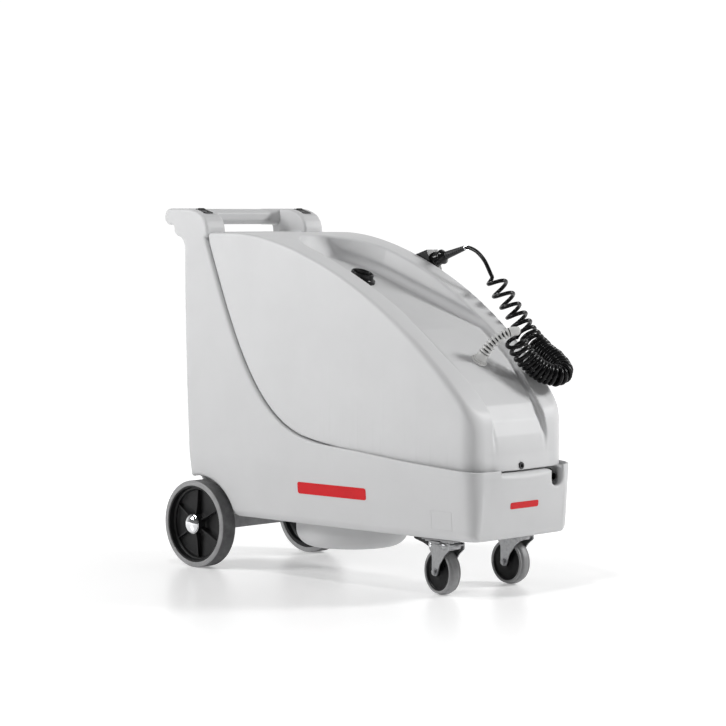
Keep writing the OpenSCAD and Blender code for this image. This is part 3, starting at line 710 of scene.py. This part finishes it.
def raised_lip():
    """The outer edge of the lower body stands past the tank's bottom edge, low down, on both sides of the notch."""
    half = plan_half(BASE_HW, BASE_FRONT_HW, 418, 26, -466, 35, 9)
    half = half[half[:, 1] < 40]
    parts = []
    for side, stop in ((-1, 81), (1, 126)):
        run = half[half[:, 0] > stop]
        end = [stop, np.interp(stop, half[::-1, 0][:12], half[::-1, 1][:12])]
        run = resampled(np.column_stack([np.vstack([run, end]), np.zeros(len(run) + 1)]), 150)[:, :2]
        ahead = np.gradient(run, axis=0)
        ahead /= np.linalg.norm(ahead, axis=1)[:, None]
        out = np.column_stack([-ahead[:, 1], ahead[:, 0]])
        height = np.interp(run[:, 1], seam_line[::-1, 0], seam_line[::-1, 1])
        shown = 1 - ease(height, 290, 318)
        verts = []
        for (x, y), (nx, ny), z, k in zip(run, out, height, shown):
            top = 7.5 * k - 2.5 * (1 - k)
            for away, up in ((0.5 * k - 0.3, -8), (0.5 * k - 0.3, top - 2), (0.5 * k - 0.8, top - 0.6), (-1.8, top),
                             (-3.6, top), (-4.6, top - 0.6), (-5.1, top - 2), (-5.1, -8)):
                verts.append((side * (x + nx * away), y + ny * away, z + up))
        n = 8
        faces = [(i * n + j, i * n + (j + 1) % n, (i + 1) * n + (j + 1) % n, (i + 1) * n + j)
                 for i in range(len(run) - 1) for j in range(n)]
        faces += [tuple(range(n)), tuple(range((len(run) - 1) * n, len(run) * n))[::-1]]
        parts.append((verts, faces))
    recalculated(piece("raised_lip", *merged(parts), "body", slot="body_plastic", body="base", sharp=60))


crossbar()
marks()
raised_lip()


def round_pan():
    corner = [(89 + 38 * math.sin(a), 101 - 38 * math.cos(a)) for a in np.linspace(0, math.pi / 2, 12)]
    profile = [(0, 63)] + corner + [(127, 125), (121, 125), (121, 107), (118, 91), (112, 79), (103, 71.5), (89, 68),
                                    (0, 68)]
    v, f = lathe(profile, 112)
    recalculated(piece("motor_drum", placed(v, shift(0, 46, 0)), f, "body", node="motor_pan", slot="body_plastic"))


def rocker_switch(name, side):
    """A rocker with a dished top, one end up."""
    top = [(-13, 2.2), (-9, 1.5), (-3, 0.9), (3, 1.6), (8.5, 3.6), (12.3, 5)]
    outline = rounded([(-13, -1.5)] + top + [(13, 1.5), (0, -4.2)], 0.7)
    v, f = prism(outline, -8.8, 8.8)
    at = shift(SWITCH[0] * side, SWITCH[1], SWITCH[2]) @ turn("X", SWITCH_TILT) @ shift(0, 0, -2)
    recalculated(piece(f"{name}_face", placed(v, at), f, "gloss_black", node=name, slot="black_plastic", bevel=0.8))


round_pan()
rocker_switch("rocker_left", -1)
rocker_switch("rocker_right", 1)


# ---------------------------------------------------------------- rear wheels
def wheel_matrix(side, x):
    return shift(side * x, *AXLE) @ turn("Y", 90 * side)


def rear_wheel(name, side):
    at = wheel_matrix(side, 181)
    rim = [(20, -19), (20, -6), (74, -6), (79, -9), (80.5, -19.5), (88, -20), (88, 19), (87.3, 19.8), (84.8, 19.8),
           (84, 19), (83.4, 12), (82.6, 8), (79.4, 7.2), (78.4, 6), (77.6, 1), (76, -0.6), (73, -1), (30, -1),
           (24, 0.5), (21.5, 4), (21, 14), (20.2, 19.5), (10.05, 19.5), (10.05, -19.5)]
    parts = [lathe(rim, 112)]
    for k in range(6):
        rib = [(20, 14.5), (40, 10), (64, 8.2), (77.5, 6.8), (77.5, -2), (20, -2)]
        v, f = prism([(r, h) for r, h in rib], -1.5, 1.5)
        v = placed(v, turn("Z", 60 * k) @ Matrix(((0, 1, 0, 0), (1, 0, 0, 0), (0, 0, 1, 0), (0, 0, 0, 1))))
        parts.append((v, f))
    v, f = merged(parts)
    recalculated(piece(f"wheel_rim_{name}", placed(v, at), f, "black", node=f"rim_{name}", slot="black_plastic",
                       sharp=28))
    grooves = 15
    tread = [(99.4, -18.6)]
    for i in range(grooves):
        a = -17.6 + 35.2 * i / grooves
        w = 35.2 / grooves
        tread += [(100, a + 0.25), (100, a + w * 0.55), (99.0, a + w * 0.68), (99.0, a + w * 0.9)]
    tread += [(100, 17.6), (99.4, 18.6)]
    shoulder = [(98, 19.8), (96, 20.5), (94.6, 20.2), (93.8, 20.3), (92.2, 21), (89.2, 21), (88.05, 20.2)]
    profile = [(r, -h) for r, h in shoulder[::-1]] + tread + shoulder
    v, f = lathe(profile, 144)
    n = len(profile)
    lo, hi = len(shoulder), n - len(shoulder) - 1
    tags = [1 if lo <= k % n < hi else 0 for k in range(len(f))]
    recalculated(piece(f"tyre_{name}_rubber", placed(v, at), f, None, node=f"tyre_{name}", slot="grey_rubber",
                       mats=["tyre_side", "tyre_tread"], face_mats=tags, sharp=30))


rear_wheel("left", -1)
rear_wheel("right", 1)
dome = [(20 * math.cos(t) + 1.2, 205.5 + 8.3 * math.sin(t)) for t in np.linspace(0, math.pi / 2, 14)]
dome[-1] = (0, dome[-1][1])
cap = [(0, 200.2), (10, 200.2), (10, 203.6), (21.6, 203.6), (22, 204.4), (21.9, 205.2)] + dome
caps = []
for s in (-1, 1):
    v, f = lathe(cap, 72)
    caps.append((placed(v, shift(0, *AXLE) @ turn("Y", 90 * s)), f))
recalculated(piece("wheel_caps", *merged(caps), "chrome", node="hub_caps", slot="chrome", sharp=25))


# ---------------------------------------------------------------- casters
def caster(name, side, swivel):
    at = shift(side * 112, -356, 0) @ turn("Z", swivel)
    wheel = at @ shift(0, 28, 50) @ turn("Y", 90)
    half = [(50, 0), (50, 4.2), (49.4, 6.6), (48.2, 7.8), (46.8, 8.6), (46.2, 9.6), (46.3, 10.8), (47, 12),
            (46.8, 13.6), (45.4, 14.9), (43.4, 15), (41.8, 14.2), (41.05, 12.8)]
    tread = [(r, -h) for r, h in half[::-1]] + half[1:]
    v, f = lathe(tread, 96)
    recalculated(piece(f"caster_tyre_{name}", placed(v, wheel), f, "caster_rubber", node=f"caster_tread_{name}",
                       slot="grey_rubber", sharp=40))
    half = [(4.03, 16.4), (8.6, 16.4), (9.6, 15.4), (10, 12.8), (12, 11.2), (20, 9.6), (30, 9.0), (35.5, 9.8),
            (37.6, 11.8), (39, 12.6), (41, 12.6)]
    v, f = lathe([(r, -h) for r, h in half] + half[::-1], 96)
    recalculated(piece(f"caster_disc_{name}", placed(v, wheel), f, "disc_black", node=f"caster_hub_{name}",
                       slot="black_plastic", sharp=30))
    # stamped fork: two cheeks, a crown and the swivel's raceway
    cheek = rounded([(-24, 101.5), (-24, 115.4), (50, 115.4), (51.5, 104), (46, 95), (38.5, 84), (38.5, 50), (35, 41.5),
                     (21, 41.5), (17, 50), (12, 66), (-8, 90)], 2,
                    radii=[3, 2, 2, 3, 10, 14, 9, 8, 8, 9, 30, 16])
    parts = [prism(cheek, x, x + 3) for x in (-20.5, 17.5)]
    crown = rounded([(-20.5, -24), (20.5, -24), (20.5, 34), (-20.5, 34)], 6)
    n = len(crown)
    cv = [(x, y, z) for z in (108.6, 112) for x, y in crown]
    cf = [tuple(range(n))[::-1], tuple(range(n, 2 * n))] + [(i, (i + 1) % n, (i + 1) % n + n, i + n) for i in range(n)]
    parts.append((cv, cf))
    race = [(6.2, 101.2), (20, 101.2), (23.6, 102.4), (25, 104.8), (25, 110), (24, 113), (21.5, 115.2), (6.2, 115.2)]
    parts.append(lathe(race, 64))
    for x in (-21.6, 20.4):
        v, f = lathe([(0, 0), (2.6, 0), (2.6, 0.5), (1.6, 1.1), (0, 1.2)], 20)
        parts.append((placed(v, shift(x if x > 0 else x + 1.1, -8, 104) @ turn("Y", 90 if x > 0 else -90)), f))
    v, f = merged(parts)
    recalculated(piece(f"caster_fork_{name}", placed(v, at), f, "zinc", node=f"fork_{name}", slot="bracket_steel",
                       bevel=0.7))
    bolts = []
    for s in (-1, 1):
        hexagon = [(6.9 * math.cos(a), 6.9 * math.sin(a)) for a in np.arange(6) * math.pi / 3 + 0.3]
        hv = [(x, y, z) for z in (21.3, 25.2) for x, y in hexagon]
        hf = [tuple(range(6))[::-1], tuple(range(6, 12))] + [(i, (i + 1) % 6, (i + 1) % 6 + 6, i + 6) for i in range(6)]
        washer = lathe([(4, 20.6), (8.2, 20.6), (8.2, 21.6), (4, 21.6)], 32)
        end = lathe([(0, 20), (3.9, 20), (3.9, 26.2), (3.2, 26.9), (0, 27)], 24)
        for v, f in ((hv, hf), washer, end):
            bolts.append((placed(v, at @ shift(0, 28, 50) @ turn("Y", 90 * s)), f))
    v, f = lathe([(0, -20), (3.9, -20), (3.9, 20), (0, 20)], 24)
    bolts.append((placed(v, wheel), f))
    recalculated(piece(f"caster_bolt_{name}", *merged(bolts), "zinc", node=f"caster_axle_{name}",
                       slot="bracket_steel", bevel=0.4))
    wedge = rounded([(37, 101.5), (37, 111), (46, 113.5), (62, 115.5), (108, 118.5), (111, 116.5), (108, 113),
                     (74, 107), (56, 101.2), (50, 100.6)], 1.5)
    v, f = prism(wedge, -16.4, 16.4)
    recalculated(piece(f"brake_lever_{name}", placed(v, at), f, "black", node=f"pedal_{name}",
                       slot="black_plastic", bevel=1.4, bevel_segments=3))
    pins = []
    for s in (-1, 1):
        v, f = lathe([(0, 17.2), (2.9, 17.2), (2.9, 20.6), (4.9, 20.6), (4.9, 21.3), (3.4, 22.3), (0, 22.6)], 28)
        pins.append((placed(v, at @ shift(0, 44, 106.5) @ turn("Y", 90 * s)), f))
    recalculated(piece(f"lever_rivet_{name}", *merged(pins), "chrome", node=f"pedal_pin_{name}",
                       slot="bracket_steel", sharp=30))


caster("left", -1, -11)
caster("right", 1, -5)


# ---------------------------------------------------------------- hose port, gland, plug
port_at = shift(*PORT) @ turn("X", PORT_TILT)
port = [(22, -16), (22, 18.4), (22.8, 19.7), (24, 20), (25.4, 19.4), (26, 18), (26.6, 9), (28.2, 7.2), (30.6, 6.4),
        (32.4, 5.6), (33, 4.2), (33, 0), (25.9, 0), (25.9, -16)]
v, f = lathe(port, 80)
recalculated(piece("port_ring", placed(v, port_at), f, "gloss_black", node="hose_port", slot="black_plastic", sharp=40))
gland_at = shift(0, -336, 495) @ turn("X", 40)
collar = [(4, -10), (4, 8), (11, 8), (14.2, 7.6), (15, 6.6), (15, 4.6), (17.4, 4.2), (18, 3.2), (18, 0), (7.8, 0),
          (7.8, -10)]
v, f = lathe(collar, 56)
recalculated(piece("cord_gland", placed(v, gland_at), f, "gland", node="gland_collar", slot="grey_rubber", sharp=40))
lock_at = shift(*LOCK) @ turn("X", 90)
v, f = lathe([(3.6, -7), (5.85, -7), (5.85, 14.6), (7.4, 14.6), (7.4, 15.8), (6.8, 16.4), (4.4, 16.4), (3.6, 15.6)], 48)
recalculated(piece("lock_ring", placed(v, lock_at), f, "soft_black", node="lock_bush", slot="black_plastic", sharp=40))
v, f = lathe([(0, -9), (5.2, -9), (5.2, -7.4), (3.5, -7.4), (3.5, 12.4), (3.1, 13), (0, 13)], 40)
key_bar = prism([(-0.7, 12.2), (0.7, 12.2), (0.7, 13.3), (-0.7, 13.3)], -2.4, 2.4)
v, f = merged([(v, f), key_bar])
recalculated(piece("lock_plug", placed(v, lock_at), f, "disc_black", node="lock_barrel", slot="black_plastic",
                   sharp=40))


def ribbed_boot():
    path = resampled(bezier(*BOOT, 80), 241)
    s = arc_lengths(path) / arc_lengths(path)[-1]
    radius = 13.3 - 4 * s
    ribs = 9
    inside = (s > 0.14) & (s < 0.80)
    wave = np.sin((s - 0.14) / 0.66 * 2 * math.pi * ribs - math.pi / 2)
    depth = np.where(inside, 6.2 * ease(-wave, -0.1, 0.5), 0)
    depth = np.where(s > 0.985, (s - 0.985) * 90, depth)
    sides = 28
    v, f = tube(path, radius - depth, sides)
    # painted shade: the faces deepest in each gap get the black rubber finish, standing in for the shadow between the
    # ribs
    painted_gap_shade = (depth > 5.5) & (s < 0.9)
    gap_shade_faces = [int(k < (len(path) - 1) * sides and painted_gap_shade[k // sides]) for k in range(len(f))]
    recalculated(piece("gland_bellows", v, f, None, node="gland_boot", slot="grey_rubber", sharp=50,
                       mats=["gland", "soft_black"], face_mats=gap_shade_faces))


def fluted(profile, steps, depth, count, low, high):
    """A turned shape whose radius ripples round it between two heights, as a finger grip."""
    v, f = lathe(profile, steps)
    out = []
    for x, y, z in v:
        if low <= z <= high:
            k = 1 - depth * max(0, math.cos(count * math.atan2(y, x)))
            x, y = x * k, y * k
        out.append((x, y, z))
    return out, f


ribbed_boot()
plug_at = shift(199, -25, 706) @ turn("X", 73)
body_profile = [(0, -24), (11, -24), (11, -0.2), (16.6, 0), (17.5, 1), (17.5, 4.2), (16.2, 5.2), (15.4, 6.5),
                (15.2, 20), (16.6, 21), (17.4, 22.2), (17.2, 24.2), (13.5, 28), (10.4, 33), (9.2, 36), (0, 36)]
v, f = fluted(body_profile, 96, 0.09, 12, 6.4, 20.1)
recalculated(piece("plug_grip", placed(v, plug_at), f, "gloss_black", node="plug_body", slot="black_plastic", sharp=35))
relief = [(0, 36)]
for i in range(9):
    h = 37 + 6.2 * i
    r = 9 - 3.5 * (h - 36) / 59
    relief += [(r, h), (r - 0.15, h + 4.2), (r - 1.2, h + 4.6), (r - 1.3, h + 5.8)]
relief += [(5.7, 93), (5.5, 95), (0, 95)]
v, f = lathe(relief, 40)
recalculated(piece("plug_relief", placed(v, plug_at), f, "soft_black", node="plug_boot", slot="black_rubber", sharp=40))
v, f = lathe([(3.6, 95), (6.2, 95), (6.5, 95.5), (6.5, 98.4), (6.1, 99), (3.6, 99)], 40)
recalculated(piece("plug_collar", placed(v, plug_at), f, "chrome", node="plug_ring", slot="chrome", sharp=40))

# ---------------------------------------------------------------- CAD nodes shown as they are
FINISH = {
    "black": ["deck_cover", "front_coupling", "socket_housing"],
    "gloss_black": ["switch_bezels"],
    "zinc": ["hinge_brackets", "hinge_pins", "axle_rod", "caster_screws", "kingpins"],
    "dark_steel": ["axle_beam", "axle_clamps", "caster_plates"],
    "soft_black": ["rest_pads"],
    "motor": ["vacuum_motor", "pump"],
    "white": ["float_cage", "float_ball"],
}
EDGE = {"deck_cover": 0.8, "front_coupling": 0.5, "socket_housing": 2.5, "switch_bezels": 1.0, "hinge_brackets": 0.8,
        "axle_beam": 2.5, "axle_clamps": 1.0, "caster_plates": 0.8, "caster_screws": 0.6, "kingpins": 0.5}
for finish, names in FINISH.items():
    for name in names:
        node = NODES[name]
        node.data.materials.clear()
        node.data.materials.append(M[finish])
        if name in EDGE:
            mod = node.modifiers.new("bevel", "BEVEL")
            mod.width = EDGE[name] * MM
            mod.segments = 3
            mod.limit_method = "ANGLE"
            mod.angle_limit = math.radians(35)


# ---------------------------------------------------------------- studio
def stage_plane():
    mesh = bpy.data.meshes.new("floor")
    mesh.from_pydata([(-14, -14, 0), (14, -14, 0), (14, 14, 0), (-14, 14, 0)], [], [(0, 1, 2, 3)])
    mat = bpy.data.materials.new("floor")
    mat.use_nodes = True
    paint = mat.node_tree.nodes["Principled BSDF"]
    paint.inputs["Base Color"].default_value = (0.78, 0.78, 0.78, 1)
    paint.inputs["Roughness"].default_value = 0.32
    paint.inputs["Emission Color"].default_value = (1, 1, 1, 1)
    paint.inputs["Emission Strength"].default_value = 0.5
    # painted shade: the floor's glow is weaker round the machine, a darker patch on the floor there, which also lets
    # the machine's own shadow show
    links, new = mat.node_tree.links, mat.node_tree.nodes.new
    place, size, fade = new("ShaderNodeTexCoord"), new("ShaderNodeVectorMath"), new("ShaderNodeMapRange")
    size.operation = "LENGTH"
    fade.interpolation_type = "SMOOTHSTEP"
    for name, value in (("From Min", 0.3), ("From Max", 2.2), ("To Min", 0.25), ("To Max", 0.62)):
        fade.inputs[name].default_value = value
    links.new(place.outputs["Object"], size.inputs[0])
    links.new(size.outputs["Value"], fade.inputs["Value"])
    links.new(fade.outputs["Result"], paint.inputs["Emission Strength"])
    mesh.materials.append(mat)
    floor = bpy.data.objects.new("floor", mesh)
    scene.collection.objects.link(floor)


def soft_light(name, place, aim, size, power):
    data = bpy.data.lights.new(name, "AREA")
    data.shape = "RECTANGLE"
    data.size, data.size_y = size
    data.energy = power
    lamp = bpy.data.objects.new(name, data)
    lamp.location = place
    lamp.rotation_euler = (Vector(aim) - Vector(place)).to_track_quat("-Z", "Y").to_euler()
    scene.collection.objects.link(lamp)


stage_plane()
world = bpy.data.worlds.new("studio")
world.use_nodes = True
tree = world.node_tree
sky = tree.nodes["Background"]
sky.inputs["Color"].default_value = (1, 1, 1, 1)
where = tree.nodes.new("ShaderNodeTexCoord")


def spread(source, low, high, at_low, at_high):
    fade = tree.nodes.new("ShaderNodeMapRange")
    for name, value in (("From Min", low), ("From Max", high), ("To Min", at_low), ("To Max", at_high)):
        fade.inputs[name].default_value = value
    tree.links.new(source, fade.inputs["Value"])
    return fade.outputs["Result"]


# a white wall behind the machine, dimmer round the viewer and overhead
toward = tree.nodes.new("ShaderNodeVectorMath")
toward.operation = "DOT_PRODUCT"
toward.inputs[1].default_value = (0.715, 0.70, 0.0)
tree.links.new(where.outputs["Generated"], toward.inputs[0])
behind = spread(toward.outputs["Value"], 0.0, 0.75, 0.16, 1.04)
parts = tree.nodes.new("ShaderNodeSeparateXYZ")
tree.links.new(where.outputs["Generated"], parts.inputs["Vector"])
overhead = spread(parts.outputs["Z"], 0.15, 0.8, 1.0, 0.35)
level = tree.nodes.new("ShaderNodeMath")
level.operation = "MULTIPLY"
tree.links.new(behind, level.inputs[0])
tree.links.new(overhead, level.inputs[1])
tree.links.new(level.outputs["Value"], sky.inputs["Strength"])
scene.world = world
scene.view_settings.view_transform = "Standard"
soft_light("left", (-3.4, 2.3, 2.4), (0, 0.05, 0.4), (1.4, 1.7), 124)
soft_light("front_right", (2.65, -2.45, 2.2), (0, -0.2, 0.4), (0.8, 0.8), 112)
soft_light("top", (-1.2, -0.6, 3.6), (0, -0.1, 0.4), (0.3, 0.3), 28)
